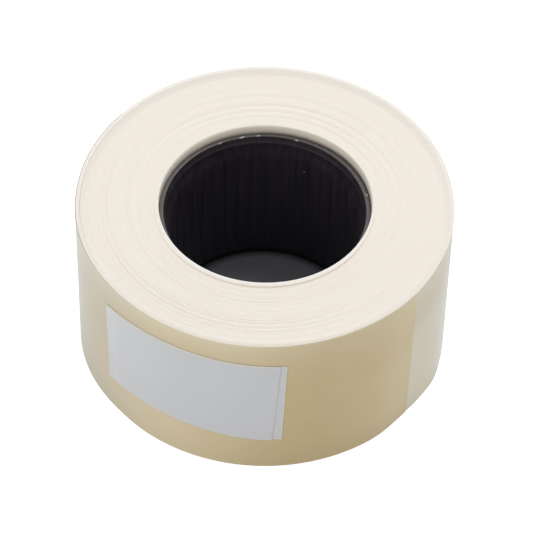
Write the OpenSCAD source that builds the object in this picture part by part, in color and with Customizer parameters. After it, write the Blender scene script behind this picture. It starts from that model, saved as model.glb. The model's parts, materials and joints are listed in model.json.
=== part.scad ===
// A roll of self-adhesive price labels: a backing web wound with its labels
// inwards on a ribbed plastic core, standing on one end. The origin is on the
// axis in the resting plane, +Z runs up the core and -Y is the front.

/* [Web] */
// Width of the backing web, which is the length of the wound roll
web_w = 40; // [30:1:80]
// Outside diameter over the outermost turn
roll_d = 80; // [70:1:120]
// Thickness of the glassine backing
liner_t = 0.06; // [0.05:0.005:0.09]
// Thickness of a label with its adhesive
label_t = 0.09; // [0.07:0.005:0.13]
// Air between a label and the turn under it
turn_gap = 0.005; // [0.003:0.001:0.02]
// Outer turns that have worked loose and stand as turns of their own
loose_turns = 7; // [3:1:10]
// How far the loose turns have slid up the roll
loose_lift = 0.65; // [0.3:0.05:1.5]
// Half-turns over which the web climbs from the tight winding to that height
climb_steps = 3; // [1:1:4]
// Where the outer end of the web lies, in degrees from the front to the right
tail_deg = 52; // [0:1:90]

/* [Wound end faces] */
// Width of a band of tight turns that shifted together in winding
band_w = 1.3; // [0.8:0.1:2.5]
// Most that such a band stands out of the face
band_shift = 0.12; // [0.04:0.01:0.3]
// How far the first band on the core stands out of the face
first_band_shift = 0.25; // [0.15:0.05:0.6]

/* [Core] */
// Bore between the rib tips, for the spindle of the labeller or printer
bore_d = 40.5; // [25:0.5:55]
// Wall of the core from the rib tips to its outside
core_wall = 2.25; // [2:0.05:4]
// How far the core's upper end lies below the wound face
core_sink = 2.25; // [0.5:0.25:6]
// Number of ribs along the bore
rib_count = 43; // [12:1:60]
// Height of the ribs above the bore's plain ends
rib_h = 0.75; // [0.6:0.05:0.85]
// Length over which a rib rises to that height at each of its ends
rib_rise_len = 1.5; // [0.8:0.1:4]
// Turn of the ribs about the axis, in degrees anticlockwise from above
rib_turn = 1.45; // [0:0.05:8]
// Radius of the round groove between two ribs
groove_r = 0.9; // [0.5:0.01:0.9]
// Depth of the groove between two ribs
groove_depth = 0.22; // [0.2:0.01:0.5]
// Wall left around the mouth of the recess in each end of the core
rim_wall = 1.05; // [0.8:0.05:1.1]
// Depth of that recess
rim_depth = 1.4; // [0.6:0.1:3]
// How much the recess narrows in radius towards its floor
recess_taper = 0.2; // [0:0.05:0.25]
// Length of the plain band between the recess and the ribs
plain_len = 1; // [0.5:0.1:4]
// Chamfer on the core's outer edges
core_chamfer = 0.3; // [0.1:0.05:0.5]

/* [Labels] */
// Length of a label along the web
label_len = 24.3; // [12:0.1:28]
// Least gap between two labels along the web
label_gap = 0.15; // [0.1:0.05:3]
// Bare web along each edge of the labels
label_margin = 0.1; // [0.1:0.05:2]

/* [Two labels stuck on the outside, turned a quarter] */
// Turn of the lower label's middle from the front, in degrees to the right
under_deg = -22.1; // [-60:0.1:20]
// Tilt of the lower label, anticlockwise as it is looked at
under_tilt = 0.6; // [-3:0.1:3]
// Turn of the upper label's middle from the front, in degrees to the right
top_deg = -24.4; // [-60:0.1:20]
// Tilt of the upper label, anticlockwise as it is looked at
top_tilt = -1; // [-3:0.1:3]
// Height of both labels' middles above the middle of the web
stuck_rise = 1.1; // [-2:0.1:2]

/* [Start tape] */
// Thickness of the tape that holds the web's inner end to the core
tape_t = 0.05; // [0.04:0.01:0.1]
// Length of the tape round the core
tape_len = 24; // [10:1:60]
// Width of the tape along the core
tape_w = 30; // [10:1:30]

/* [Hidden] */
$fn = 180;

roll_r = roll_d / 2;
bore_r = bore_d / 2;
core_r = bore_r + core_wall;
core_len = web_w - core_sink;
// A label is as wide as the web, but for a hair along each edge
label_w = web_w - 2 * label_margin;

// One turn of the web is a backing, a label and the air between turns
pitch = liner_t + label_t + turn_gap;
// The spiral is drawn as half-turns about two centres half a pitch apart,
// numbered inwards from the tail; each is half a pitch smaller than the last
half_turns = 2 * loose_turns - 1;
tight_r = roll_r - loose_turns * pitch;
// Direction of the tail from +X
tail_dir = tail_deg - 90;

// The tight winding is taken as one body, in bands that each keep the web's width
band_count = ceil((tight_r + pitch - core_r) / band_w);
// Steps through the fractions of one evenly, so that the shifts look unordered
golden = 0.618034;
// Margin by which a cutting solid passes the one that it cuts
past = 1;

/* Shapes */

// Outside radius of half-turn i about its own centre
function half_turn_r(i) = roll_r - i * pitch / 2;

// Height by which half-turn i has slid up
function half_turn_lift(i) = loose_lift * min(1, (half_turns - i) / climb_steps);

// Height by which band k has shifted: every second one stays on the floor
function band_rise(k) =
    k == 0 ? first_band_shift
    : k % 2 == 0 ? 0
    : band_shift * (1 + k * golden - floor(k * golden)) / 2;

// Angle in degrees that a length covers on a radius
function arc_deg(length, radius) = length / radius * 180 / PI;

// A length of ring, on the side of the spiral where half-turn i runs
module on_half_turn(i) {
    rotate([0, 0, tail_dir])
        translate([i % 2 == 0 ? 0 : -pitch / 2, 0, 0])
            rotate([0, 0, i % 2 == 0 ? 180 : 0])
                children();
}

// A ring sector from angle 0 anticlockwise
module ring_sector(inner_r, thickness, height, angle) {
    rotate_extrude(angle = angle, start = 0)
        translate([inner_r, 0])
            square([thickness, height]);
}

/* Core */

// Half section of the core, with the bore still smooth
module core_section() {
    rim_r = core_r - rim_wall;
    floor_r = rim_r - recess_taper;
    plain_r = bore_r + rib_h;
    rib_start = rim_depth + plain_len;
    rib_full = rib_start + rib_rise_len;
    polygon([
        [core_r - core_chamfer, 0],
        [core_r, core_chamfer],
        [core_r, core_len - core_chamfer],
        [core_r - core_chamfer, core_len],
        [rim_r, core_len],
        [floor_r, core_len - rim_depth],
        [plain_r, core_len - rim_depth],
        [plain_r, core_len - rib_start],
        [bore_r, core_len - rib_full],
        [bore_r, rib_full],
        [plain_r, rib_start],
        [plain_r, rim_depth],
        [floor_r, rim_depth],
        [rim_r, 0],
    ]);
}

// The grooves run out in the ribs' sloping ends, and don't reach the plain band's wall
module core() {
    groove_start = rim_depth + plain_len / 2;
    color([0.07, 0.065, 0.075])
        difference() {
            rotate_extrude()
                core_section();
            for (i = [0 : rib_count - 1])
                rotate([0, 0, rib_turn + (i + 0.5) * 360 / rib_count])
                    translate([bore_r + groove_depth - groove_r, 0, groove_start])
                        cylinder(r = groove_r, h = core_len - 2 * groove_start, $fn = 24);
        }
}

/* Start tape */

// The tape, or with a clearance the pocket that the web leaves for it
module tape_shape(clearance) {
    span = arc_deg(tape_len + 2 * clearance, core_r);
    rotate([0, 0, tail_dir - span / 2])
        translate([0, 0, (core_len - tape_w) / 2 - clearance])
            ring_sector(core_r, tape_t + clearance, tape_w + 2 * clearance, span);
}

module start_tape() {
    color([0.82, 0.74, 0.55])
        tape_shape(0);
}

/* Web */

// The tight winding's section: bands that have shifted along the core
module tight_section() {
    polygon(concat(
        [for (k = [0 : band_count - 1], edge = [0, 1])
            [core_r + (k + edge) * band_w, web_w + band_rise(k)]],
        [for (k = [band_count - 1 : -1 : 0], edge = [1, 0])
            [core_r + (k + edge) * band_w, band_rise(k)]]
    ));
}

// The outline of the tight winding is the spiral's last full turn
module tight_winding() {
    tall = web_w + 2 * first_band_shift;
    intersection() {
        rotate_extrude()
            tight_section();
        union() {
            on_half_turn(half_turns)
                ring_sector(core_r / 2, half_turn_r(half_turns) - core_r / 2, tall, 180);
            on_half_turn(half_turns + 1)
                ring_sector(core_r / 2, tight_r - core_r / 2, tall, 180);
        }
    }
}

module loose_half_turn(i) {
    on_half_turn(i)
        translate([0, 0, half_turn_lift(i)])
            ring_sector(half_turn_r(i) - liner_t, liner_t, web_w, 180);
}

module liner_web() {
    color([0.93, 0.87, 0.71]) {
        difference() {
            tight_winding();
            tape_shape(turn_gap);
        }
        for (i = [0 : half_turns - 1])
            loose_half_turn(i);
    }
}

/* Labels on the web */

// The labels on the inner side of one half-turn, spread evenly along it
module labels_of_half_turn(i) {
    outer_r = half_turn_r(i) - liner_t;
    span = arc_deg(label_len, outer_r);
    step = 180 / floor(180 / arc_deg(label_len + label_gap, outer_r));
    on_half_turn(i)
        translate([0, 0, half_turn_lift(i) + label_margin])
            for (start = [(step - span) / 2 : step : 180 - span])
                rotate([0, 0, start])
                    ring_sector(outer_r - label_t, label_t, label_w, span);
}

// The half-turn at the tail is bare, and the rest of the loose web has labels
module wound_labels() {
    color([0.95, 0.95, 0.95])
        for (i = [1 : half_turns - 1])
            labels_of_half_turn(i);
}

/* Labels stuck on the outside */

// One of the roll's labels, laid lengthwise round a radius and tilted about its middle
module wrapped_label(inner_r, middle_deg, tilt) {
    half_span = arc_deg(label_w / 2, inner_r);
    half_chord = inner_r * sin(half_span);
    near_x = inner_r * cos(half_span) - past;
    rotate([0, 0, middle_deg - 90])
        translate([0, 0, loose_lift + web_w / 2 + stuck_rise])
            intersection() {
                rotate([0, 0, -1.5 * half_span])
                    translate([0, 0, -label_len])
                        ring_sector(inner_r, label_t, 2 * label_len, 3 * half_span);
                rotate([tilt, 0, 0])
                    translate([near_x, -half_chord, -label_len / 2])
                        cube([inner_r + past - near_x, 2 * half_chord, label_len]);
            }
}

module under_label() {
    color([0.9, 0.9, 0.9])
        wrapped_label(roll_r, under_deg, under_tilt);
}

module top_label() {
    color([0.88, 0.88, 0.89])
        wrapped_label(roll_r + label_t, top_deg, top_tilt);
}

core();
start_tape();
liner_web();
wound_labels();
under_label();
top_label();
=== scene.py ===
"""A roll of price labels standing on one end: the winding, its loose outer turns,
the ribbed core and the two labels stuck on the outside. Metres throughout."""

import json
import math
import random

import bpy
import numpy as np
from mathutils import Matrix, Vector, noise
from mathutils.bvhtree import BVHTree


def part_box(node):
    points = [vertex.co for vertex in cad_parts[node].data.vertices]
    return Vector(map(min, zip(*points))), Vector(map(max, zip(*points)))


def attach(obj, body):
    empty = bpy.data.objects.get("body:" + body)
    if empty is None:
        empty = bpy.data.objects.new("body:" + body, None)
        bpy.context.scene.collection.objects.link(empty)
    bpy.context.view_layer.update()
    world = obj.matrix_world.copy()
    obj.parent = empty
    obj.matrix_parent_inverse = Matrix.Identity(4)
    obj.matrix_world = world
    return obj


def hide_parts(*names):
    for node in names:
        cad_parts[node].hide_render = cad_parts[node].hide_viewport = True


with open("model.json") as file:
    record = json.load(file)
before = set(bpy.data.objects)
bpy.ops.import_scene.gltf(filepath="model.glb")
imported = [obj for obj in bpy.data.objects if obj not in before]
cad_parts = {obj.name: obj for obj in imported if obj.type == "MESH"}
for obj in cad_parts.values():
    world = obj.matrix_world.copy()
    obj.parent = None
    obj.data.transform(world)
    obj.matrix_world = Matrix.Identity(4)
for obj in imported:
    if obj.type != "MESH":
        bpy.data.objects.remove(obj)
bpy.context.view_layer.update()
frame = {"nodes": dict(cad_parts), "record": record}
NODES = frame["nodes"]
MM = 0.001
FULL_TURN = 2 * math.pi

# ---------------------------------------------------------------- sizes
_, core_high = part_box("core")
web_low, web_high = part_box("liner_web")
mounts = {mount["name"]: mount for mount in frame["record"]["mounts"]}
CORE_R = core_high[0]
CORE_LEN = core_high[2]
BORE_R = mounts["bore"]["dims"]["r_mm"] * MM
ROLL_R = -web_low[1]
# How far the loose turns have slid up, and how much further their lower edges lie up
LOOSE_LIFT = 0.65 * MM
FOOT_LIFT = 0.5 * MM
WEB_W = web_high[2] - LOOSE_LIFT

# The core's recessed ends and ribs
RIM_R = CORE_R - 1.05 * MM
RECESS_R = RIM_R - 0.2 * MM
RECESS_DEPTH = 1.4 * MM
PLAIN_R = BORE_R + 0.75 * MM
PLAIN_LEN = 0.6 * MM
UPPER_RISE_LEN = 4 * MM
LOWER_RISE_LEN = 1 * MM
RISE_STEPS = 10
RIB_COUNT = 43
RIB_TURN = math.radians(1.45)
GROOVE_DEPTH = 0.2 * MM
GROOVE_WIDTH = 2.2 * MM
EDGE_ROUND = 0.1 * MM

# The web and its spiral
LINER_T = 0.06 * MM
LABEL_T = 0.09 * MM
PITCH = 0.155 * MM
LOOSE_TURNS = 7
TIGHT_R = ROLL_R - LOOSE_TURNS * PITCH
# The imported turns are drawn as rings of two
RING_W = 2 * PITCH
RING_COUNT = int((TIGHT_R - CORE_R) / RING_W)
# Between these radii the winding climbs to the loose turns
CLIMB_FROM = TIGHT_R - 1.5 * MM
CLIMB_TO = TIGHT_R + 0.3 * MM
# Directions on the roll are in degrees from the front, anticlockwise from above
TAIL_DEG = 52
TAIL_DIR = math.radians(TAIL_DEG - 90)
# Just at the tail the loose turns have slipped down a little
SLIP = 0.28 * MM
SLIP_MIDDLE_DEG = 50
SLIP_WIDTH_DEG = 16
# How far the loose turns' edges wave up and down
RIPPLE = 0.02 * MM
LABEL_LEN = 24.3 * MM
LABEL_GAP = 0.15 * MM

# The two labels stuck on the outside are turned a quarter
STUCK_W = WEB_W - 0.2 * MM
STUCK_H = LABEL_LEN

# ---------------------------------------------------------------- image points
FRAME_W = FRAME_H = 536
POINTS = {
    "outline_left": (76.0, None),
    "outline_right": (454.4, None),
    "outline_top": (None, 67.0),
    "outline_bottom": (None, 466.9),
    "top_label_upper_left": (105.6, 303.9),
    "top_label_upper_right": (281.2, 367.2),
    "top_label_lower_right": (272.0, 440.8),
    "top_label_lower_left": (109.7, 376.0),
    "under_label_upper_right": (287.6, 366.7),
    "under_label_lower_right": (281.6, 439.4),
    "tail_upper": (416.0, 294.0),
    "tail_lower": (408.0, 411.0),
    "hole_left": (157.6, None),
    "hole_right": (371.6, None),
    "hole_back": (None, 125.6),
    "rim_nick_far_left": (220.0, 143.5),
    "rim_nick_left": (242.0, 137.6),
    "rim_nick_right": (296.7, 140.5),
    "rim_nick_side": (367.0, 195.0),
    "bore_speck": (304.0, 172.0),
}

# ---------------------------------------------------------------- camera
CAMERA_AIM = Vector((0.939, -1.766, 21.089)) * MM
CAMERA_DISTANCE = 0.6368
CAMERA_ELEVATION = math.radians(48.906)
CAMERA_ROLL = 0.02322
CAMERA_LENS = 198.52
SENSOR_W = 36.0


def make_camera():
    data = bpy.data.cameras.new("camera")
    data.sensor_fit = "AUTO"
    data.sensor_width = SENSOR_W
    data.lens = CAMERA_LENS
    camera = bpy.data.objects.new("camera", data)
    bpy.context.scene.collection.objects.link(camera)
    towards = Vector((0, -math.cos(CAMERA_ELEVATION), math.sin(CAMERA_ELEVATION)))
    spot = Vector((0, 0, CAMERA_AIM.z)) + CAMERA_DISTANCE * towards
    look = (CAMERA_AIM - spot).to_track_quat("-Z", "Y").to_matrix().to_4x4()
    camera.matrix_world = Matrix.Translation(spot) @ look @ Matrix.Rotation(CAMERA_ROLL, 4, "Z")
    bpy.context.scene.camera = camera
    return camera


# ---------------------------------------------------------------- from the photo onto the model
def ray_from(camera, x, y):
    """The camera's place and the way from it to what shows at an image point."""
    longest = max(FRAME_W, FRAME_H)
    data = camera.data
    across = x - FRAME_W / 2 + data.shift_x * longest
    up = FRAME_H / 2 - y + data.shift_y * longest
    ahead = -longest * data.lens / data.sensor_width
    turn = camera.matrix_world.to_3x3()
    return camera.matrix_world.translation.copy(), (turn @ Vector((across, up, ahead))).normalized()


def seen_at(camera, place):
    """The image point at which a place shows."""
    local = camera.matrix_world.inverted() @ Vector(place)
    longest = max(FRAME_W, FRAME_H)
    data = camera.data
    scale = longest * data.lens / data.sensor_width / -local.z
    x = FRAME_W / 2 - data.shift_x * longest + local.x * scale
    y = FRAME_H / 2 + data.shift_y * longest - local.y * scale
    return x, y


def tree_of(*objects):
    corners, faces = [], []
    for obj in objects:
        offset = len(corners)
        corners += [obj.matrix_world @ vertex.co for vertex in obj.data.vertices]
        faces += [[offset + i for i in face.vertices] for face in obj.data.polygons]
    return BVHTree.FromPolygons(corners, faces)


def place_on(camera, name, tree):
    """The place on a surface that shows at a named image point."""
    spot, way = ray_from(camera, *POINTS[name])
    place = tree.ray_cast(spot, way)[0]
    if place is None:
        place = tree.find_nearest(spot + way * CAMERA_DISTANCE)[0]
    return place


# ---------------------------------------------------------------- modelling helpers
MERGE_DISTANCE = 0.0005 * MM


def deselect():
    bpy.ops.object.select_all(action="DESELECT")


def added(name, add, **settings):
    """A new mesh piece, made by one of Blender's own calls."""
    deselect()
    add(**settings)
    bpy.context.object.name = name
    return bpy.context.object


def pick(obj):
    deselect()
    obj.select_set(True)
    bpy.context.view_layer.objects.active = obj


def edit(obj):
    pick(obj)
    bpy.ops.object.mode_set(mode="EDIT")


def done():
    bpy.ops.object.mode_set(mode="OBJECT")


def apply_modifier(obj, kind, **settings):
    pick(obj)
    modifier = obj.modifiers.new(kind.lower(), kind)
    for key, value in settings.items():
        setattr(modifier, key, value)
    bpy.ops.object.modifier_apply(modifier=modifier.name)


def smooth(obj, degrees):
    pick(obj)
    bpy.ops.object.shade_smooth_by_angle(angle=math.radians(degrees))


def read_vectors(items, kind):
    """A row of three numbers for each vertex or face."""
    flat = np.empty(3 * len(items))
    items.foreach_get(kind, flat)
    return flat.reshape(-1, 3)


def read_places(obj):
    return read_vectors(obj.data.vertices, "co")


def write_places(obj, places):
    obj.data.vertices.foreach_set("co", places.astype(np.float32).ravel())
    obj.data.update()


def around(places):
    """The radius and the direction of each place about the roll's axis."""
    return np.hypot(places[:, 0], places[:, 1]), np.arctan2(places[:, 1], places[:, 0])


def spread(places, factor):
    """Moves places out from the axis, or in towards it."""
    places[:, 0] *= factor
    places[:, 1] *= factor


def eased(share):
    """Goes from 0 to 1 as the share does, with a soft start and end."""
    return share * share * (3 - 2 * share)


def bell(distance, width):
    """1 in the middle, and about a third at the width."""
    return np.exp(-((distance / width) ** 2))


def turned_piece(name, section, steps):
    """A closed section of (radius, height) points, drawn by extrusion and spun about Z."""
    obj = added(name, bpy.ops.mesh.primitive_plane_add, size=MM)
    edit(obj)
    bpy.ops.mesh.merge(type="CENTER")
    bpy.ops.transform.translate(value=(section[0][0], 0, section[0][1]))
    for here, there in zip(section, section[1:] + section[:1]):
        move = (there[0] - here[0], 0, there[1] - here[1])
        bpy.ops.mesh.extrude_vertices_move(TRANSFORM_OT_translate={"value": move})
    bpy.ops.mesh.select_all(action="SELECT")
    bpy.ops.mesh.remove_doubles(threshold=MERGE_DISTANCE)
    bpy.ops.mesh.spin(steps=steps, angle=FULL_TURN, center=(0, 0, 0), axis=(0, 0, 1))
    bpy.ops.mesh.select_all(action="SELECT")
    bpy.ops.mesh.remove_doubles(threshold=MERGE_DISTANCE)
    bpy.ops.mesh.normals_make_consistent(inside=False)
    done()
    return obj


def flat_strip(name, length, width, thickness, columns, rows):
    """A flat strip from x = -length to 0, its outer face at z = 0 and y across it."""
    obj = added(name, bpy.ops.mesh.primitive_grid_add, x_subdivisions=columns, y_subdivisions=rows, size=1)
    edit(obj)
    bpy.ops.transform.resize(value=(length, width, 1))
    bpy.ops.transform.translate(value=(-length / 2, width / 2, 0))
    done()
    apply_modifier(obj, "SOLIDIFY", thickness=thickness, offset=-1)
    return obj


def mark(obj, name, values):
    """Notes a value at each corner of a piece, for its material to read."""
    attribute = obj.data.attributes.new(name, "FLOAT", "POINT")
    attribute.data.foreach_set("value", values.astype(np.float32))


# ---------------------------------------------------------------- the spiral
def turns_at(distance):
    """How many turns in from the tail a place on the web lies."""
    return (ROLL_R - np.sqrt(ROLL_R**2 - PITCH * distance / math.pi)) / PITCH


def distance_at(turns):
    return math.pi * turns * (2 * ROLL_R - PITCH * turns)


def ripple(direction, turns, reach, seed):
    """A slow wave along the web, between -1 and 1."""
    wave = np.sin(direction * 2 + seed) + 0.7 * np.sin(direction * 3 + 1.7 * seed + turns)
    wave += 0.5 * np.sin(direction * 7 + 2.3 * seed - 2 * turns)
    return wave * reach / 2.2


def angle_from(direction, middle_deg):
    """How many degrees round from a direction, which is given in degrees from the front."""
    return (np.degrees(direction) + 90 - middle_deg + 180) % 360 - 180


def cosine_from(direction, middle_deg):
    """1 in a direction, 0 at right angles to it and -1 opposite it."""
    return np.cos(np.radians(angle_from(direction, middle_deg)))


def climb_at(radius):
    """How much of the loose turns' lift the winding has taken up at a radius, 0 to 1."""
    return eased(np.clip((radius - CLIMB_FROM) / (CLIMB_TO - CLIMB_FROM), 0, 1))


def lift_at(direction):
    """How far the loose turns stand out of the face, before they ripple."""
    slipped = SLIP * bell(angle_from(direction, SLIP_MIDDLE_DEG), SLIP_WIDTH_DEG)
    return LOOSE_LIFT * 0.95 - slipped


def wind(obj):
    """Winds a flat strip onto the spiral, as it climbs out of the tight winding."""
    places = read_places(obj)
    turns = turns_at(-places[:, 0])
    direction = TAIL_DIR - FULL_TURN * turns
    radius = ROLL_R - PITCH * turns + places[:, 2]
    climb = climb_at(ROLL_R - PITCH * turns)
    lift = climb * (lift_at(direction) + ripple(direction, turns, RIPPLE, 0.6))
    # The outermost turns' lower edges lie highest
    foot = FOOT_LIFT * np.clip((radius - TIGHT_R) / (5.5 * PITCH), 0, 1)
    height = foot + places[:, 1] * (1 - foot / WEB_W) + lift
    write_places(obj, np.stack([radius * np.cos(direction), radius * np.sin(direction), height], 1))
    # Painted highlight: the turns' cut edges are painted paler towards the back
    mark(obj, "painted_edge_highlight", 0.65 * (0.5 - 0.5 * cosine_from(direction, 0)))


# Where the winding has been pressed out of round: direction from the front in
# degrees, half-width in degrees, and how many millimetres out the outside stands
# there at its top and at its foot
PRESSED = [
    (49, 8, 0.1, -0.52),
    (68, 6, 0, 0.5),
    (77, 9, 0.15, 0.2),
    (134, 8, 0.1, 0.1),
    (118, 9, 0.12, 0.12),
    (205, 40, -0.14, -0.14),
    (286, 14, 0.2, 0.3),
    (312, 9, 0, -0.2),
    (330, 14, -0.06, -0.06),
]


def press(obj):
    """Presses a paper piece out of round, more towards the outside of the roll."""
    places = read_places(obj)
    radius, direction = around(places)
    depth = np.clip((radius - CORE_R) / (ROLL_R - CORE_R), 0, 1) ** 2
    move = np.zeros(len(places))
    up = np.clip(places[:, 2] / WEB_W, 0, 1)
    for middle, width, at_top, at_foot in PRESSED:
        out = (at_foot + (at_top - at_foot) * up) * MM
        move += out * bell(angle_from(direction, middle), width)
    spread(places, 1 + depth * move / np.maximum(radius, CORE_R))
    write_places(obj, places)


# ---------------------------------------------------------------- core
def end_section(rise_len):
    """Half section of the core's upper end, from its outside to the ribs' full height."""
    soft = EDGE_ROUND
    floor = CORE_LEN - RECESS_DEPTH
    rib_start = floor - PLAIN_LEN
    section = [
        (CORE_R, CORE_LEN - 0.18 * MM),
        (CORE_R - 0.05 * MM, CORE_LEN - 0.05 * MM),
        (CORE_R - 0.18 * MM, CORE_LEN),
        (RIM_R + soft, CORE_LEN),
        (RIM_R + 0.3 * soft, CORE_LEN - 0.3 * soft),
        (RIM_R, CORE_LEN - soft),
        (RECESS_R, floor + 0.5 * soft),
        (RECESS_R - 0.3 * soft, floor),
        (PLAIN_R, floor - 0.4 * MM),
        (PLAIN_R, rib_start),
    ]
    for step in range(1, RISE_STEPS + 1):
        share = step / RISE_STEPS
        section.append((PLAIN_R + (BORE_R - PLAIN_R) * eased(share), rib_start - rise_len * share))
    return section


def core_section():
    upper = end_section(UPPER_RISE_LEN)
    middle = [(BORE_R, CORE_LEN * share) for share in (0.75, 0.6, 0.45, 0.3)]
    lower = [(radius, CORE_LEN - height) for radius, height in reversed(end_section(LOWER_RISE_LEN))]
    sides = [(CORE_R, CORE_LEN * share) for share in (0.3, 0.6)]
    return upper + middle + lower + sides


def make_core():
    core = turned_piece("ribbed_core", core_section(), RIB_COUNT * 24)
    places = read_places(core)
    radius, direction = around(places)
    period = FULL_TURN / RIB_COUNT
    across = (((direction - RIB_TURN) / period) % 1 - 0.5) * period * BORE_R
    inside = np.clip(np.abs(across) / (GROOVE_WIDTH / 2), 0, 1)
    bottom = BORE_R + GROOVE_DEPTH * 0.5 * (1 + np.cos(math.pi * inside))
    # A groove is cut to one depth, so it runs out where the ribs slope away at their ends
    cut = np.where(radius < PLAIN_R - 0.01 * MM, np.maximum(bottom, radius), radius)
    spread(places, cut / radius)
    write_places(core, places)
    smooth(core, 35)
    return core


# ---------------------------------------------------------------- tight winding
# Turns that lie below the others on the upper end: radius, half-width and depth in
# millimetres, and the direction in degrees from the front round which they show
SUNK_TURNS = [
    (25.1, 0.3, 0.13, 150),
    (26.8, 0.35, 0.2, 160),
    (28.6, 0.4, 0.26, 150),
    (31.2, 0.5, 0.12, 170),
    (33.3, 0.22, 0.1, -20),
    (34.5, 0.22, 0.12, -30),
    (35.8, 0.25, 0.1, -10),
]
# Single rings that lie low in front on the left: how many of ten, how deep, round which
# directions, and from which ring outwards
FINE_SHARE = 5
FINE_DEPTH = (0.04 * MM, 0.12 * MM)
FINE_SHOWN = (-80, -10)
FINE_FROM = 14
# The crack between two rings
CRACK_W = 0.05 * MM
CRACK_DEPTH = 0.04 * MM
# The first turns on the core stand out of the face in front. At the back they have
# slid down into the hole, lean out on the right and lean in on the left
FIRST_RAISED = 0.4 * MM
FIRST_SUNK = 1.5 * MM
FIRST_SUNK_W = 0.32 * MM
LEAN_OUT = 0.28 * MM
LEAN_IN = 0.22 * MM
LEAN_W = 0.5 * MM
# How far round from the tail the loose web's inner end lies, as a share of a turn
WEB_END_SHARE = 0.61


def end_heights(seed):
    """How far each pair of turns stands out of the wound end, unordered but repeatable."""
    draw = random.Random(seed)
    heights = []
    band = 0.0
    for ring in range(RING_COUNT):
        if ring % 4 == 0:
            band = draw.uniform(0, 0.03) * MM
        heights.append(band + draw.uniform(0, 0.02) * MM)
    return heights


def ring_edges(ring):
    """The inner and outer radius of a ring. The outermost reaches to the loose turns."""
    inner = CORE_R + ring * RING_W
    return inner, inner + RING_W if ring < RING_COUNT - 1 else TIGHT_R


def make_tight_winding():
    upper = [(CORE_R, WEB_W - depth * MM) for depth in (6, 5, 4, 3, 2.4, 1.8, 1.4, 1, 0.7, 0.4, 0.15)]
    for ring, height in enumerate(end_heights(11)):
        inner, outer = ring_edges(ring)
        top = WEB_W + height
        if ring > 0:
            upper.append((inner, top - CRACK_DEPTH))
        upper += [(inner + CRACK_W, top - 0.2 * CRACK_DEPTH), (inner + 2 * CRACK_W, top)]
        if ring < 2:
            upper += [(inner + 3 * CRACK_W, top), (inner + 4 * CRACK_W, top)]
        upper.append((outer - CRACK_W, top))
    upper.append((TIGHT_R, top - 0.1 * CRACK_DEPTH))
    lower = []
    for ring, height in enumerate(end_heights(23)):
        inner, outer = ring_edges(ring)
        lower += [(inner, height + CRACK_DEPTH), (inner + CRACK_W, height), (outer - CRACK_W, height)]
    outside = [(TIGHT_R, WEB_W * share) for share in (0.96, 0.5, 0.02)]
    inside = [(CORE_R, WEB_W * share) for share in (0.3, 0.6)]
    winding = turned_piece("tight_winding", upper + outside + lower[::-1] + inside, 240)
    shape_upper_end(winding)
    press(winding)
    smooth(winding, 40)
    return winding


def shape_upper_end(winding):
    """Raises the first turns on the core, sinks some others and lets the hole slacken."""
    places = read_places(winding)
    radius, direction = around(places)
    near_top = np.clip((places[:, 2] - WEB_W + 1.5 * MM) / MM, 0, 1)
    # In front more of the first turns stand out than at the back
    front = 0.5 + 0.5 * cosine_from(direction, -12)
    edge = CORE_R + (0.25 + 0.95 * front) * MM
    raised = FIRST_RAISED * (0.5 + 0.5 * cosine_from(direction, 30))
    places[:, 2] += raised * np.clip((edge - radius) / (0.04 * MM), 0, 1) * near_top
    over = np.clip(1 - (radius - CORE_R) / FIRST_SUNK_W, 0, 1)
    rounded = 1 - np.sqrt(1 - 0.999 * over**2)
    back = np.clip(1 - 1.5 * front, 0, 1)
    upper_part = np.clip((places[:, 2] - WEB_W + 5 * MM) / (4 * MM), 0, 1)
    places[:, 2] -= FIRST_SUNK * rounded * back * upper_part
    for middle, width, depth, shown in SUNK_TURNS:
        here = bell(radius - middle * MM, width * MM)
        strength = np.clip(0.25 + 0.75 * cosine_from(direction, shown), 0.1, 1)
        places[:, 2] -= here * strength * depth * MM * near_top
    draw = random.Random(7)
    for ring in range(FINE_FROM, RING_COUNT - 2):
        depth = draw.uniform(*FINE_DEPTH)
        shown = draw.uniform(*FINE_SHOWN)
        if draw.randrange(10) >= FINE_SHARE:
            continue
        inner, outer = ring_edges(ring)
        here = (radius > inner + 0.02 * MM) & (radius < outer - 0.02 * MM)
        strength = np.clip(cosine_from(direction, shown), 0, 1)
        places[:, 2] -= here * strength * depth * near_top
    # The outermost rings begin to climb to the loose turns
    places[:, 2] += climb_at(radius) * lift_at(direction) * near_top
    slack = LEAN_OUT * bell(angle_from(direction, 128), 30) - LEAN_IN * bell(angle_from(direction, 195), 60)
    first = np.clip((CORE_R + LEAN_W - radius) / LEAN_W, 0, 1)
    high = np.clip((places[:, 2] - CORE_LEN + 6 * MM) / (6 * MM), 0, 1)
    # The last packed turn lies against the first loose one, also past the loose web's end
    past = ((TAIL_DIR - direction) / FULL_TURN) % 1
    reach = np.where(past > WEB_END_SHARE, PITCH * (1 - past), 0) * (radius > TIGHT_R - 0.01 * MM)
    spread(places, 1 + (slack * first * high + reach) / radius)
    write_places(winding, places)


# ---------------------------------------------------------------- loose turns
# The turns without labels at the web's two ends, and the labels' width as drawn
BARE_OUTSIDE = 0.5
BARE_INSIDE = 0.6
WOUND_LABEL_W = WEB_W - 0.03 * MM


def make_loose_web():
    length = distance_at(LOOSE_TURNS - LINER_T / PITCH)
    web = flat_strip("loose_web", length, WEB_W, LINER_T, 1260, 14)
    wind(web)
    press(web)
    smooth(web, 40)
    return web


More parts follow.
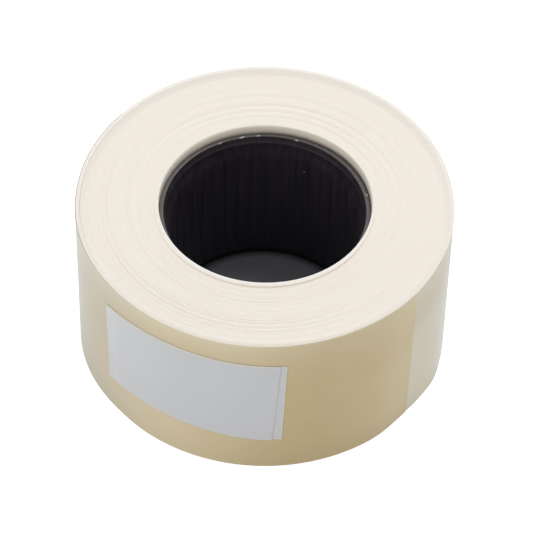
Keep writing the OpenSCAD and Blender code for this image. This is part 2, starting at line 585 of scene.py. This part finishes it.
def make_wound_labels():
    """The labels on the inner side of the loose web, from half a turn in."""
    step = LABEL_LEN + LABEL_GAP
    first = distance_at(BARE_OUTSIDE)
    count = int((distance_at(LOOSE_TURNS - BARE_INSIDE) - first) / step)
    labels = flat_strip("wound_label_stack", LABEL_LEN, WOUND_LABEL_W, LABEL_T, 20, 3)
    edit(labels)
    bpy.ops.mesh.select_all(action="SELECT")
    bpy.ops.transform.translate(value=(-first, (WEB_W - WOUND_LABEL_W) / 2, -LINER_T))
    done()
    apply_modifier(
        labels,
        "ARRAY",
        count=count,
        use_relative_offset=False,
        use_constant_offset=True,
        constant_offset_displace=(-step, 0, 0),
    )
    wind(labels)
    press(labels)
    smooth(labels, 40)
    return labels


# ---------------------------------------------------------------- labels on the outside
# A label's edges are squashed by the cut and painted bright there as a highlight, with a thin rim round
# them painted dark as the shadow at the edge, and its right edge has lifted a little
LABEL_CELL = 0.25 * MM
CUT_W = 0.3 * MM
RIM_W = 0.12 * MM
EDGE_LIFT = 0.05 * MM
# How far its long edges bow up between the corners, and how much more so on the left
LABEL_BOW = 1.25 * MM
BOW_LEAN = 0.5
# The material slots of such a label
PAPER_SLOT, CUT_SLOT, RIM_SLOT = 0, 1, 2


def flat_label(name, cut_right):
    """An outside label, lying flat. Its right edge may show the cut, as its long ones do."""
    label = added(name, bpy.ops.mesh.primitive_grid_add, x_subdivisions=160, y_subdivisions=96, size=1)
    edit(label)
    bpy.ops.transform.resize(value=(STUCK_W, STUCK_H, 1))
    done()
    apply_modifier(label, "SOLIDIFY", thickness=LABEL_T, offset=1)
    for face in label.data.polygons:
        right = STUCK_W / 2 - face.center.x
        ends = STUCK_H / 2 - abs(face.center.y)
        cut = min(right, ends) if cut_right else ends
        if min(right, ends) < LABEL_CELL:
            face.material_index = RIM_SLOT
        elif cut < 2 * LABEL_CELL:
            face.material_index = CUT_SLOT
        else:
            face.material_index = PAPER_SLOT
    return label


def label_corner(camera, tree, name, stands_out):
    """Where on the roll's side a corner lies: its arc from the front and its height."""
    spot, way = ray_from(camera, *POINTS[name])
    place = tree.ray_cast(spot, way)[0]
    out = Vector((place.x, place.y, 0)).normalized()
    place = place + way * (stands_out / way.dot(out))
    return np.array([math.atan2(place.x, -place.y) * ROLL_R, place.z])


def depth_inside(corners, arc, height):
    """How far inside a four-cornered patch a place lies, negative outside it."""
    depth = np.full(len(arc), 1.0)
    for here, there in zip(corners, corners[1:] + corners[:1]):
        side = (there - here) / np.linalg.norm(there - here)
        depth = np.minimum(depth, side[1] * (arc - here[0]) - side[0] * (height - here[1]))
    return depth


def inside_edge(inside):
    """Where a row of a label's grid goes, by its distance from the grid's edge."""
    rows = [0, LABEL_CELL, 2 * LABEL_CELL, 3 * LABEL_CELL, 1]
    return np.interp(inside, rows, [-RIM_W, 0, CUT_W, 3 * LABEL_CELL, 1])


def stick(label, corners, lying_on):
    """Lays a flat label on the roll's side between four corners, clockwise from upper left."""
    places = read_places(label)
    # Its left edge lies too flat to show a rim
    right = inside_edge(STUCK_W / 2 - places[:, 0])
    across = np.where(places[:, 0] > 0, STUCK_W / 2 - right, places[:, 0])
    ends = inside_edge(STUCK_H / 2 - np.abs(places[:, 1]))
    upright = np.sign(places[:, 1]) * (STUCK_H / 2 - ends)
    share = across / STUCK_W + 0.5
    share_x = share[:, None]
    share_y = (upright / STUCK_H + 0.5)[:, None]
    upper = corners[0] * (1 - share_x) + corners[1] * share_x
    lower = corners[3] * (1 - share_x) + corners[2] * share_x
    laid = lower * (1 - share_y) + upper * share_y
    arc, height = laid[:, 0], laid[:, 1]
    from_edge = np.minimum(STUCK_W / 2 - across, ends)
    thickness = places[:, 2] * np.interp(from_edge, [-RIM_W, 0, CUT_W], [0.05, 0.3, 1])
    in_rim = np.clip(-from_edge / RIM_W, 0, 1)
    lifted = EDGE_LIFT * bell(STUCK_W / 2 - across, 0.5 * MM) * (1 - in_rim)
    radius = ROLL_R + thickness + lying_on(arc, height, in_rim) + lifted
    direction = arc / ROLL_R - math.pi / 2
    height = height + 4 * LABEL_BOW * share * (1 - share) * (1 + BOW_LEAN * (1 - 2 * share))
    write_places(label, np.stack([radius * np.cos(direction), radius * np.sin(direction), height], 1))
    press(label)
    smooth(label, 40)


def make_outside_labels(camera, tree):
    """Two labels: the lower one shows at the right, past the end of the upper one."""
    right = [
        label_corner(camera, tree, "under_label_upper_right", LABEL_T),
        label_corner(camera, tree, "under_label_lower_right", LABEL_T),
    ]
    fall = np.array([STUCK_W, MM])
    rise = np.array([STUCK_W, -MM])
    under_corners = [right[0] - fall, right[0], right[1], right[1] - rise]
    under = flat_label("lower_outside_label", True)
    stick(under, under_corners, lambda arc, height, in_rim: 0)
    names = ["upper_left", "upper_right", "lower_right", "lower_left"]
    top_corners = [label_corner(camera, tree, "top_label_" + name, 2 * LABEL_T) for name in names]
    top = flat_label("upper_outside_label", False)

    def on_under_label(arc, height, in_rim):
        reach = (0.3 - 0.2 * in_rim) * MM
        inside = depth_inside(under_corners, arc, height) + reach
        return LABEL_T * eased(np.clip(inside / (0.9 * reach), 0, 1))

    stick(top, top_corners, on_under_label)
    return under, top


# ---------------------------------------------------------------- material helpers
class Nodes:
    """A node tree with short calls for the few nodes that the materials need."""

    def __init__(self, tree):
        self.tree = tree
        tree.nodes.clear()

    def add(self, kind, inputs=None, **settings):
        made = self.tree.nodes.new(kind)
        for key, value in settings.items():
            setattr(made, key, value)
        for key, value in (inputs or {}).items():
            self.put(value, made.inputs[key])
        return made

    def put(self, value, socket):
        if isinstance(value, bpy.types.NodeSocket):
            self.tree.links.new(value, socket)
        else:
            socket.default_value = value

    def math(self, operation, first, second=0.0):
        return self.add("ShaderNodeMath", {0: first, 1: second}, operation=operation).outputs[0]

    def scaled(self, value, low, high, to_low, to_high):
        made = self.add("ShaderNodeMapRange", {0: value, 1: low, 2: high, 3: to_low, 4: to_high})
        return made.outputs[0]

    def mix(self, share, first, second):
        made = self.add("ShaderNodeMix", data_type="RGBA")
        self.put(share, made.inputs[0])
        self.put(first, made.inputs[6])
        self.put(second, made.inputs[7])
        return made.outputs[2]

    def marked(self, name):
        """What mark() has noted on the piece."""
        return self.add("ShaderNodeAttribute", attribute_name=name).outputs["Fac"]

    def place(self):
        return self.add("ShaderNodeTexCoord").outputs["Object"]

    def height(self):
        return self.add("ShaderNodeSeparateXYZ", {0: self.place()}).outputs[2]

    def about_axis(self):
        """The place's x and y, and how far it lies from the roll's axis."""
        axes = self.add("ShaderNodeSeparateXYZ", {0: self.place()})
        x, y = axes.outputs[0], axes.outputs[1]
        square = self.math("ADD", self.math("MULTIPLY", x, x), self.math("MULTIPLY", y, y))
        return x, y, self.math("SQRT", square)

    def noise(self, where, scale, detail=2.0, roughness=0.5):
        inputs = {"Vector": where, "Scale": scale, "Detail": detail, "Roughness": roughness}
        return self.add("ShaderNodeTexNoise", inputs).outputs["Fac"]


def new_group(name, inputs, outputs):
    group = bpy.data.node_groups.new(name, "ShaderNodeTree")
    for label, default in inputs.items():
        socket = group.interface.new_socket(label, in_out="INPUT", socket_type="NodeSocketFloat")
        socket.default_value = default
    for label in outputs:
        group.interface.new_socket(label, in_out="OUTPUT", socket_type="NodeSocketFloat")
    nodes = Nodes(group)
    return group, nodes, nodes.add("NodeGroupInput"), nodes.add("NodeGroupOutput")


def place_group(nodes, group, values):
    made = nodes.add("ShaderNodeGroup", node_tree=group)
    for key, value in values.items():
        nodes.put(value, made.inputs[key])
    return made


def paper_fibre_group():
    """Clouding and fibres of paper: a slow cloud and fine grain, both around 0.5."""
    group, nodes, given, out = new_group(
        "paper_fibre", {"Cloud scale": 400.0, "Grain scale": 6000.0}, ["Cloud", "Grain"]
    )
    place = nodes.place()
    cloud = nodes.noise(place, given.outputs["Cloud scale"], 3.0, 0.6)
    grain = nodes.noise(place, given.outputs["Grain scale"], 2.0, 0.6)
    nodes.put(cloud, out.inputs["Cloud"])
    nodes.put(grain, out.inputs["Grain"])
    return group


def wound_lines_group():
    """Lines round the axis, as turns of paper make them: fine turns and wider bands."""
    group, nodes, given, out = new_group(
        "wound_lines", {"Turns per metre": 3200.0, "Bands per metre": 700.0}, ["Turns", "Bands"]
    )
    x, y, radius = nodes.about_axis()
    east = nodes.math("DIVIDE", x, radius)
    north = nodes.math("DIVIDE", y, radius)

    def rings(per_metre, drift, detail):
        inputs = {
            0: nodes.math("MULTIPLY", radius, per_metre),
            1: nodes.math("MULTIPLY", east, drift),
            2: nodes.math("MULTIPLY", north, drift),
        }
        where = nodes.add("ShaderNodeCombineXYZ", inputs).outputs[0]
        return nodes.noise(where, 1.0, detail, 0.6)

    nodes.put(rings(given.outputs["Turns per metre"], 0.35, 2.0), out.inputs["Turns"])
    nodes.put(rings(given.outputs["Bands per metre"], 0.3, 1.0), out.inputs["Bands"])
    return group


def paper_of(nodes, fibre, cloud_scale, grain_scale):
    """The cloud and the grain of paper, at scales of a material's own."""
    made = place_group(nodes, fibre, {"Cloud scale": cloud_scale, "Grain scale": grain_scale})
    return made.outputs["Cloud"], made.outputs["Grain"]


def nodes_of(owner):
    """The empty node tree of a new material or world."""
    owner.use_nodes = True
    return Nodes(owner.node_tree)


def new_material(name):
    material = bpy.data.materials.new(name)
    nodes = nodes_of(material)
    surface = nodes.add("ShaderNodeBsdfPrincipled")
    nodes.add("ShaderNodeOutputMaterial", {"Surface": surface.outputs[0]})
    return material, nodes, surface


def coat(nodes, surface, colour, roughness, reflecting=0.5):
    nodes.put(colour, surface.inputs["Base Color"])
    nodes.put(roughness, surface.inputs["Roughness"])
    nodes.put(reflecting, surface.inputs["Specular IOR Level"])


def bumped(nodes, surface, height, strength, distance):
    inputs = {"Strength": strength, "Distance": distance, "Height": height}
    nodes.put(nodes.add("ShaderNodeBump", inputs).outputs[0], surface.inputs["Normal"])


def soaked_in(surface, weight, reach):
    """Lets light spread through stacked paper, most easily along its sheets."""
    settings = {"Weight": weight, "Radius": (1.0, 0.85, 0.7), "Scale": reach}
    for name, value in settings.items():
        surface.inputs["Subsurface " + name].default_value = value


# ---------------------------------------------------------------- materials
GLASSINE = (0.648, 0.52, 0.278, 1)
GLASSINE_WARM = (0.624, 0.487, 0.236, 1)
GLASSINE_BACKED = (0.82, 0.735, 0.52, 1)
# The next three are painted light: a paler upper part, a sheen and a haze at a grazing view
GLASSINE_PAINTED_LIGHT = (0.86, 0.76, 0.53, 1)
GLASSINE_PAINTED_SHEEN = (0.865, 0.73, 0.475, 1)
GLASSINE_PAINTED_HAZE = (0.475, 0.475, 0.445, 1)
WOUND_EDGE = (0.89, 0.833, 0.755, 1)
WOUND_EDGE_DARK = (0.79, 0.7, 0.6, 1)
# Painted highlight on cut edges
PAINTED_EDGE_HIGHLIGHT = (0.965, 0.945, 0.92, 1)
# Label paper inside the roll, painted warm as light through the cream backing tints it
WOUND_LABEL = (0.93, 0.85, 0.7, 1)
PACKED_LABEL = (0.99, 0.9, 0.79, 1)
# Painted shade where the paper meets the core
PAINTED_SHADE_PAPER = (0.3, 0.22, 0.17, 1)
LABEL_WHITE = (0.737, 0.747, 0.767, 1)
LABEL_GREY = (0.718, 0.728, 0.748, 1)
# Painted highlight on a label's cut edge
LABEL_CUT_HIGHLIGHT = (0.93, 0.87, 0.72, 1)
# Painted shadow on the thin rim round a label
LABEL_RIM_SHADOW = (0.4, 0.37, 0.31, 1)
LABEL_RIM_SHADOW_PALE = (0.55, 0.52, 0.45, 1)
CORE_BLACK = (0.0175, 0.0145, 0.021, 1)
CORE_WORN = (0.031, 0.026, 0.034, 1)
# Sawn grey, painted darker and warmer as shade and light off the cream paper
CORE_SCUFFED_AND_SHADE = (0.128, 0.116, 0.107, 1)
CURL_PALE = (0.6, 0.59, 0.6, 1)
CURL_GREY = (0.3, 0.29, 0.31, 1)
TAPE_FILM = (0.66, 0.54, 0.3, 1)
TAPE_FILM_DARK = (0.58, 0.46, 0.24, 1)


def glassine_material(fibre):
    """The backing's outer face: smooth, clouded, and paler where a label lies behind it."""
    material, nodes, surface = new_material("glassine_backing")
    cloud, grain = paper_of(nodes, fibre, 90.0, 5200.0)
    colour = nodes.mix(nodes.scaled(cloud, 0.35, 0.65, 0.0, 0.6), GLASSINE, GLASSINE_WARM)
    colour = nodes.mix(nodes.marked("label_behind"), colour, GLASSINE_BACKED)
    # Painted light: the web is painted paler towards its upper edge, as light soaks in from the
    # cut edge above, but less so where it lies tight
    painted_haze_share = nodes.marked("painted_haze_share")
    upward = nodes.scaled(nodes.height(), 24 * MM, 41 * MM, 0.0, 1.0)
    soaked = nodes.math("MULTIPLY", upward, nodes.scaled(painted_haze_share, 0.0, 1.0, 0.3, 1.0))
    soaked = nodes.math("MULTIPLY", upward, soaked)
    colour = nodes.mix(soaked, colour, GLASSINE_PAINTED_LIGHT)
    # Painted reflection: paler where a sheen is marked
    colour = nodes.mix(nodes.marked("sheen"), colour, GLASSINE_PAINTED_SHEEN)
    # Painted sheen: seen edge-on, its colour is painted over with a grey haze, as a grazing reflection
    facing = nodes.add("ShaderNodeLayerWeight", {"Blend": 0.5}).outputs["Facing"]
    painted_haze = nodes.math("MULTIPLY", nodes.scaled(facing, 0.46, 0.95, 0.0, 0.85), painted_haze_share)
    colour = nodes.mix(painted_haze, colour, GLASSINE_PAINTED_HAZE)
    coat(nodes, surface, colour, nodes.scaled(grain, 0.3, 0.7, 0.38, 0.44), 0.42)
    bumped(nodes, surface, grain, 0.06, 0.02 * MM)
    return material


def wound_edge_material(name, fibre, lines):
    """The cut edges of backing and labels, seen on the roll's two ends."""
    material, nodes, surface = new_material(name)
    rings = place_group(nodes, lines, {"Turns per metre": 3000.0, "Bands per metre": 900.0})
    cloud, grain = paper_of(nodes, fibre, 45.0, 9000.0)
    turns = nodes.scaled(rings.outputs["Turns"], 0.3, 0.7, 0.0, 0.5)
    bands = nodes.scaled(rings.outputs["Bands"], 0.35, 0.7, 0.0, 0.5)
    shown = nodes.scaled(cloud, 0.35, 0.65, 0.35, 1.0)
    dark = nodes.math("MULTIPLY", nodes.math("MULTIPLY", turns, bands), shown)
    colour = nodes.mix(dark, WOUND_EDGE, WOUND_EDGE_DARK)
    # Painted highlight: edges marked so are painted paler, on the loose turns at the back and on the first
    # turn in front
    colour = nodes.mix(nodes.marked("painted_edge_highlight"), colour, PAINTED_EDGE_HIGHLIGHT)
    coat(nodes, surface, colour, 0.85, 0.2)
    height = nodes.math("ADD", rings.outputs["Turns"], nodes.math("MULTIPLY", grain, 0.35))
    bumped(nodes, surface, height, 0.25, 0.04 * MM)
    return material, surface


def label_material(fibre):
    """Smooth white label paper, with a faint cloud."""
    material, nodes, surface = new_material("white_label_paper")
    cloud, grain = paper_of(nodes, fibre, 80.0, 7000.0)
    colour = nodes.mix(nodes.scaled(cloud, 0.35, 0.65, 0.0, 1.0), LABEL_WHITE, LABEL_GREY)
    coat(nodes, surface, colour, nodes.scaled(grain, 0.3, 0.7, 0.45, 0.52), 0.45)
    bumped(nodes, surface, grain, 0.05, 0.02 * MM)
    return material


def wound_label_material(name, fibre, tone):
    """Label paper inside the roll, painted warm as light that comes through the backing would tint it, and
    painted darker where it meets the core, as shade."""
    material, nodes, surface = new_material(name)
    cloud, _ = paper_of(nodes, fibre, 120.0, 7000.0)
    colour = nodes.mix(cloud, WOUND_EDGE, tone)
    # Painted shade: the paper is painted darker low down by the core's rim, where shade falls
    painted_shade = nodes.scaled(nodes.height(), CORE_LEN - 0.1 * MM, CORE_LEN + 0.9 * MM, 0.85, 0.0)
    painted_shade = nodes.math("MULTIPLY", painted_shade, nodes.marked("shade_by_core"))
    coat(nodes, surface, nodes.mix(painted_shade, colour, PAINTED_SHADE_PAPER), 0.7)
    return material, surface


def label_cut_highlight_material(fibre):
    """The cut edge of a label, painted bright as a highlight where it catches the light."""
    material, nodes, surface = new_material("label_cut_edge_highlight")
    _, grain = paper_of(nodes, fibre, 300.0, 9000.0)
    share = nodes.scaled(grain, 0.35, 0.65, 0.0, 0.3)
    coat(nodes, surface, nodes.mix(share, LABEL_CUT_HIGHLIGHT, LABEL_WHITE), 0.8)
    return material


def label_rim_material(fibre):
    """The thin rim round a label, painted dark as the shadow at its edge."""
    material, nodes, surface = new_material("label_rim_painted_shadow")
    cloud, _ = paper_of(nodes, fibre, 500.0, 5000.0)
    coat(nodes, surface, nodes.mix(cloud, LABEL_RIM_SHADOW, LABEL_RIM_SHADOW_PALE), 0.5)
    return material


def core_material():
    """Black moulded plastic, drawn along the bore: grey where its ends were sawn, and that grey painted
    darker and warmer as shade and light off the cream paper.
    """
    material, nodes, surface = new_material("black_core_plastic")
    place = nodes.place()
    stretched = nodes.add("ShaderNodeMapping", {"Vector": place, "Scale": (900.0, 900.0, 60.0)})
    drawn = nodes.noise(stretched.outputs[0], 1.0, 3.0, 0.6)
    from_middle = nodes.math("ABSOLUTE", nodes.math("SUBTRACT", nodes.height(), CORE_LEN / 2))
    near_end = nodes.scaled(from_middle, CORE_LEN / 2 - 0.2 * MM, CORE_LEN / 2 - 0.03 * MM, 0.0, 1.0)
    saw = nodes.noise(place, 1500.0, 3.0, 0.7)
    scuffed = nodes.math("MULTIPLY", near_end, nodes.scaled(saw, 0.3, 0.6, 0.5, 1.0))
    worn = nodes.mix(nodes.scaled(drawn, 0.35, 0.7, 0.0, 1.0), CORE_BLACK, CORE_WORN)
    gloss = nodes.scaled(drawn, 0.3, 0.7, 0.38, 0.5)
    rough = nodes.math("ADD", gloss, nodes.math("MULTIPLY", scuffed, 0.2))
    coat(nodes, surface, nodes.mix(scuffed, worn, CORE_SCUFFED_AND_SHADE), rough, 0.4)
    bumped(nodes, surface, drawn, 0.12, 0.03 * MM)
    return material


def curl_material():
    """Grey curls of plastic that the saw left on the core's rim."""
    material, nodes, surface = new_material("sawn_plastic_curl")
    coat(nodes, surface, nodes.mix(nodes.noise(nodes.place(), 4000.0), CURL_PALE, CURL_GREY), 0.6)
    return material


def tape_material():
    """Clear yellowish tape under the web."""
    material, nodes, surface = new_material("start_tape_film")
    cloud = nodes.noise(nodes.place(), 300.0)
    colour = nodes.mix(cloud, TAPE_FILM, TAPE_FILM_DARK)
    coat(nodes, surface, colour, nodes.scaled(cloud, 0.3, 0.7, 0.25, 0.4))
    return material


# ---------------------------------------------------------------- what goes where
# How wide the first turn's painted edge highlight is, and the part by the core that may be painted darker
# as shade
FIRST_TURN_W = 0.36 * MM
SHADE_BY_CORE_W = 1.5 * MM
# Farther in than this from its two walls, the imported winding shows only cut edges
WALL_MARGIN = 0.6 * MM


def paint_sheet(obj, face, edge, only_edge_between=(0, 0)):
    """One material on a sheet's two faces and another on its cut edges, which may be all
    that shows between two radii."""
    obj.data.materials.clear()
    obj.data.materials.append(face)
    obj.data.materials.append(edge)
    middles = read_vectors(obj.data.polygons, "center")[:, :2]
    normals = read_vectors(obj.data.polygons, "normal")[:, :2]
    radius = np.linalg.norm(middles, axis=1)
    facing = np.abs((normals * (middles / radius[:, None])).sum(1))
    is_edge = (facing < 0.6) | ((radius > only_edge_between[0]) & (radius < only_edge_between[1]))
    obj.data.polygons.foreach_set("material_index", is_edge.astype(np.int32))


def mark_first_turn(winding):
    """The first turn on the core, whose thin edge is painted white in front as a highlight, and the paper
    by the core, painted darker as shade.
    """
    radius, direction = around(read_places(winding))
    first = np.clip((CORE_R + FIRST_TURN_W - radius) / (0.05 * MM), 0, 1)
    mark(winding, "painted_edge_highlight", first * np.clip(0.3 + cosine_from(direction, 0), 0, 1))
    mark(winding, "shade_by_core", np.where(radius < CORE_R + SHADE_BY_CORE_W, 1, 0))


def mark_backing(web):
    """Where a label backs the outermost turn, beyond the bare half-turn at the tail, and
    where a painted haze and a painted sheen lie on it."""
    places = read_places(web)
    _, direction = around(places)
    height = places[:, 2]
    past_tail = angle_from(direction, TAIL_DEG)
    backed = np.clip(past_tail / 0.5, 0, 1) * np.clip((180 - past_tail) / 2, 0, 1)
    # The tail lies flush at its upper corner, where it hardly shows
    near_tail = np.clip(1.6 - past_tail / 30, 0, 1)
    flush = near_tail * (1 - np.clip((33 * MM - height) / (8 * MM), 0, 1))
    mark(web, "label_behind", backed * (1 - 0.75 * flush))
    # The bare web lies tighter towards the tail, and gets less of the painted haze and painted light there
    past_middle = angle_from(direction, 0)
    tighter = np.clip((past_middle + 10) / 30, 0, 1)
    mark(web, "painted_haze_share", np.where(past_tail > 0, 1, 1 - 0.9 * tighter))
    # Painted reflection: low on the left a sheen of the bright floor is painted on it, and a little at the
    # tail
    leftward = np.clip(1.12 * bell(angle_from(direction, -36), 36) - 0.12, 0, 1)
    low = np.clip((40 * MM - height) / (30 * MM), 0, 1)
    at_tail = np.clip((past_middle - 30) / 14, 0, 1) * (past_tail < 0)
    mark(web, "sheen", 0.86 * leftward * low + 0.1 * at_tail)


# ---------------------------------------------------------------- marks on the core
def make_curl(name, place, size, seed):
    """A curl of plastic that the saw left, lying along the core's rim."""
    curl = added(name, bpy.ops.mesh.primitive_uv_sphere_add, segments=16, ring_count=10, radius=size)
    draw = random.Random(seed)
    stretch = (draw.uniform(1.1, 1.5), draw.uniform(0.35, 0.5), draw.uniform(0.3, 0.45))
    turn = math.atan2(place.y, place.x) + math.pi / 2 + draw.uniform(-0.2, 0.2)
    shape = Matrix.Rotation(turn, 4, "Z") @ Matrix.Diagonal((*stretch, 1))
    for vertex in curl.data.vertices:
        rough = 1 + 0.4 * noise.noise(vertex.co / size * 1.3 + Vector((seed, 0, 0)))
        vertex.co = shape @ (vertex.co * rough) + place
    smooth(curl, 50)
    return curl


# ---------------------------------------------------------------- build
camera = make_camera()
core = make_core()
tight = make_tight_winding()
loose = make_loose_web()
wound = make_wound_labels()
under, top = make_outside_labels(camera, tree_of(loose))

fibre = paper_fibre_group()
lines = wound_lines_group()
glassine = glassine_material(fibre)
edges, _ = wound_edge_material("loose_paper_edges", fibre, lines)
packed_edges, packed_surface = wound_edge_material("packed_paper_edges", fibre, lines)
soaked_in(packed_surface, 0.3, 0.8 * MM)
wound_label, _ = wound_label_material("wound_label_paper", fibre, WOUND_LABEL)
packed_label, packed_label_surface = wound_label_material("packed_label_paper", fibre, PACKED_LABEL)
soaked_in(packed_label_surface, 1.0, 2 * MM)
label_paper = label_material(fibre)
label_cut = label_cut_highlight_material(fibre)
label_rim = label_rim_material(fibre)

mark_backing(loose)
mark_first_turn(tight)
paint_sheet(loose, glassine, edges)
paint_sheet(wound, wound_label, edges)
for label in (under, top):
    # In the order of PAPER_SLOT, CUT_SLOT and RIM_SLOT
    for paint in (label_paper, label_cut, label_rim):
        label.data.materials.append(paint)
paint_sheet(tight, packed_label, packed_edges, (CORE_R + WALL_MARGIN, TIGHT_R - WALL_MARGIN))
core.data.materials.append(core_material())
NODES["start_tape"].data.materials.clear()
NODES["start_tape"].data.materials.append(tape_material())

REPLACED = [
    (core, "core", "core_plastic"),
    (tight, "liner_web", "backing_paper"),
    (loose, "liner_web", "backing_paper"),
    (wound, "wound_labels", "label_paper"),
    (under, "under_label", "label_paper"),
    (top, "top_label", "label_paper"),
]
for piece, node, slot in REPLACED:
    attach(piece, "root")
    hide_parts(node)

core_tree = tree_of(core)
curl_paint = curl_material()
CURLS = [
    ("rim_nick_far_left", 0.34 * MM, 3),
    ("rim_nick_left", 0.46 * MM, 5),
    ("rim_nick_right", 0.34 * MM, 8),
    ("rim_nick_side", 0.34 * MM, 13),
    ("bore_speck", 0.16 * MM, 21),
]
places_of_curls = {name: place_on(camera, name, core_tree) for name, _, _ in CURLS}
# One more lies a little further round the rim, beside the largest
beside = Matrix.Rotation(math.radians(-9.5), 4, "Z") @ places_of_curls["rim_nick_left"]
places_of_curls["rim_nick_beside"] = beside
for name, size, seed in [*CURLS, ("rim_nick_beside", 0.34 * MM, 34)]:
    curl = make_curl(name, places_of_curls[name], size, seed)
    curl.data.materials.append(curl_paint)
    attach(curl, "root")

# ---------------------------------------------------------------- stage and light
# Painted shade: the floor is painted dark inside this radius, under the roll, where only the bore shows it
SHADED_R = 33 * MM
FLOOR_SHADE_IN_BORE = (0.27, 0.26, 0.29, 1)
FLOOR_SHADE_AT_WALL = (0.1, 0.095, 0.11, 1)
FLOOR_PALE = (0.9, 0.9, 0.9, 1)
# How much the floor glows where it is seen, and how pale floor and sky are as lights
FLOOR_GLOW = 0.78
FLOOR_BOUNCE = 0.7
SKY_LIGHT = 0.56


def seen_directly(nodes):
    """1 where the camera, a reflection or clear plastic shows the surface, and 0 as a light."""
    path = nodes.add("ShaderNodeLightPath")
    seen = nodes.math("MAXIMUM", path.outputs["Is Camera Ray"], path.outputs["Is Glossy Ray"])
    return nodes.math("MAXIMUM", seen, path.outputs["Is Transmission Ray"])


def make_floor():
    """A pale floor, painted darker in the bore as shade, that is shown white around the roll."""
    floor = added("floor", bpy.ops.mesh.primitive_grid_add, x_subdivisions=4, y_subdivisions=4, size=6)
    material = bpy.data.materials.new("floor")
    nodes = nodes_of(material)
    _, _, radius = nodes.about_axis()
    outside = nodes.scaled(radius, SHADED_R, SHADED_R + 5 * MM, 0.0, 1.0)
    # Painted shade: light hardly reaches the foot of the bore's wall, so the floor is painted darker there
    in_shade = nodes.scaled(radius, 19.6 * MM, 21.6 * MM, 0.0, 1.0)
    tone = nodes.mix(in_shade, FLOOR_SHADE_IN_BORE, FLOOR_SHADE_AT_WALL)
    in_bore = nodes.add("ShaderNodeBsdfDiffuse", {"Color": tone})
    pale = nodes.add("ShaderNodeBsdfDiffuse", {"Color": FLOOR_PALE})
    glow = nodes.add("ShaderNodeEmission", {"Color": (1, 1, 1, 1), "Strength": FLOOR_GLOW})
    bright = nodes.add("ShaderNodeAddShader", {0: pale.outputs[0], 1: glow.outputs[0]})
    bounce = nodes.add("ShaderNodeBsdfDiffuse", {"Color": (*[FLOOR_BOUNCE] * 3, 1)})
    seen = seen_directly(nodes)
    beyond = nodes.add("ShaderNodeMixShader", {0: seen, 1: bounce.outputs[0], 2: bright.outputs[0]})
    picked = nodes.add("ShaderNodeMixShader", {0: outside, 1: in_bore.outputs[0], 2: beyond.outputs[0]})
    nodes.add("ShaderNodeOutputMaterial", {"Surface": picked.outputs[0]})
    floor.data.materials.append(material)


def make_world():
    """White where the camera or a reflection sees it, and softer as a light."""
    world = bpy.data.worlds.new("world")
    nodes = nodes_of(world)
    seen = seen_directly(nodes)
    level = nodes.scaled(seen, 0.0, 1.0, SKY_LIGHT, 1.0)
    sky = nodes.add("ShaderNodeBackground", {"Color": (1, 1, 1, 1), "Strength": level})
    nodes.add("ShaderNodeOutputWorld", {"Surface": sky.outputs[0]})
    bpy.context.scene.world = world


def make_softbox(name, place, size, power):
    data = bpy.data.lights.new(name, "AREA")
    data.shape = "SQUARE"
    data.size = size
    data.energy = power
    lamp = bpy.data.objects.new(name, data)
    bpy.context.scene.collection.objects.link(lamp)
    spot = Vector(place)
    lamp.matrix_world = Matrix.Translation(spot) @ (-spot).to_track_quat("-Z", "Y").to_matrix().to_4x4()


make_floor()
make_world()
make_softbox("key", (0.2, 0.4, 0.95), 0.5, 4.85)
make_softbox("left_front", (-1.1, -0.6, 0.5), 0.7, 2.0)
bpy.context.scene.view_settings.view_transform = "Standard"

# ---------------------------------------------------------------- where each thing shows in the picture
def outline():
    """The outline's left, right, upper and lower edge in the picture."""
    shown = [core, tight, loose, wound, under, top]
    spots = [seen_at(camera, vertex.co) for piece in shown for vertex in piece.data.vertices]
    xs = [spot[0] for spot in spots]
    ys = [spot[1] for spot in spots]
    return min(xs), max(xs), min(ys), max(ys)


def corner_of(label, side, end):
    """The outer corner of a label: side -1 is its left and 1 its right, end -1 its foot."""
    places = read_places(label)
    radius, _ = around(places)
    arc = np.arctan2(places[:, 0], -places[:, 1]) * ROLL_R
    return places[np.argmax(side * arc + end * places[:, 2] + 3 * radius)]


def write_points():
    left, right, upper, lower = outline()
    # The upper edge of the winding round the hole
    edge = [
        seen_at(camera, vertex.co)
        for vertex in tight.data.vertices
        if math.hypot(vertex.co.x, vertex.co.y) < CORE_R + 0.12 * MM and vertex.co.z > WEB_W - 0.7 * MM
    ]
    tail = (ROLL_R * math.cos(TAIL_DIR), ROLL_R * math.sin(TAIL_DIR))
    shown = {
        "outline_left": (left, None),
        "outline_right": (right, None),
        "outline_top": (None, upper),
        "outline_bottom": (None, lower),
        "top_label_upper_left": seen_at(camera, corner_of(top, -1, 1)),
        "top_label_upper_right": seen_at(camera, corner_of(top, 1, 1)),
        "top_label_lower_right": seen_at(camera, corner_of(top, 1, -1)),
        "top_label_lower_left": seen_at(camera, corner_of(top, -1, -1)),
        "under_label_upper_right": seen_at(camera, corner_of(under, 1, 1)),
        "under_label_lower_right": seen_at(camera, corner_of(under, 1, -1)),
        "tail_upper": seen_at(camera, (*tail, WEB_W + LOOSE_LIFT)),
        "tail_lower": seen_at(camera, (*tail, LOOSE_LIFT + FOOT_LIFT)),
        "hole_left": (min(spot[0] for spot in edge), None),
        "hole_right": (max(spot[0] for spot in edge), None),
        "hole_back": (None, min(spot[1] for spot in edge)),
    }
    for name, _, _ in CURLS:
        piece = bpy.data.objects[name]
        middle = sum((vertex.co for vertex in piece.data.vertices), Vector()) / len(piece.data.vertices)
        shown[name] = seen_at(camera, middle)


write_points()
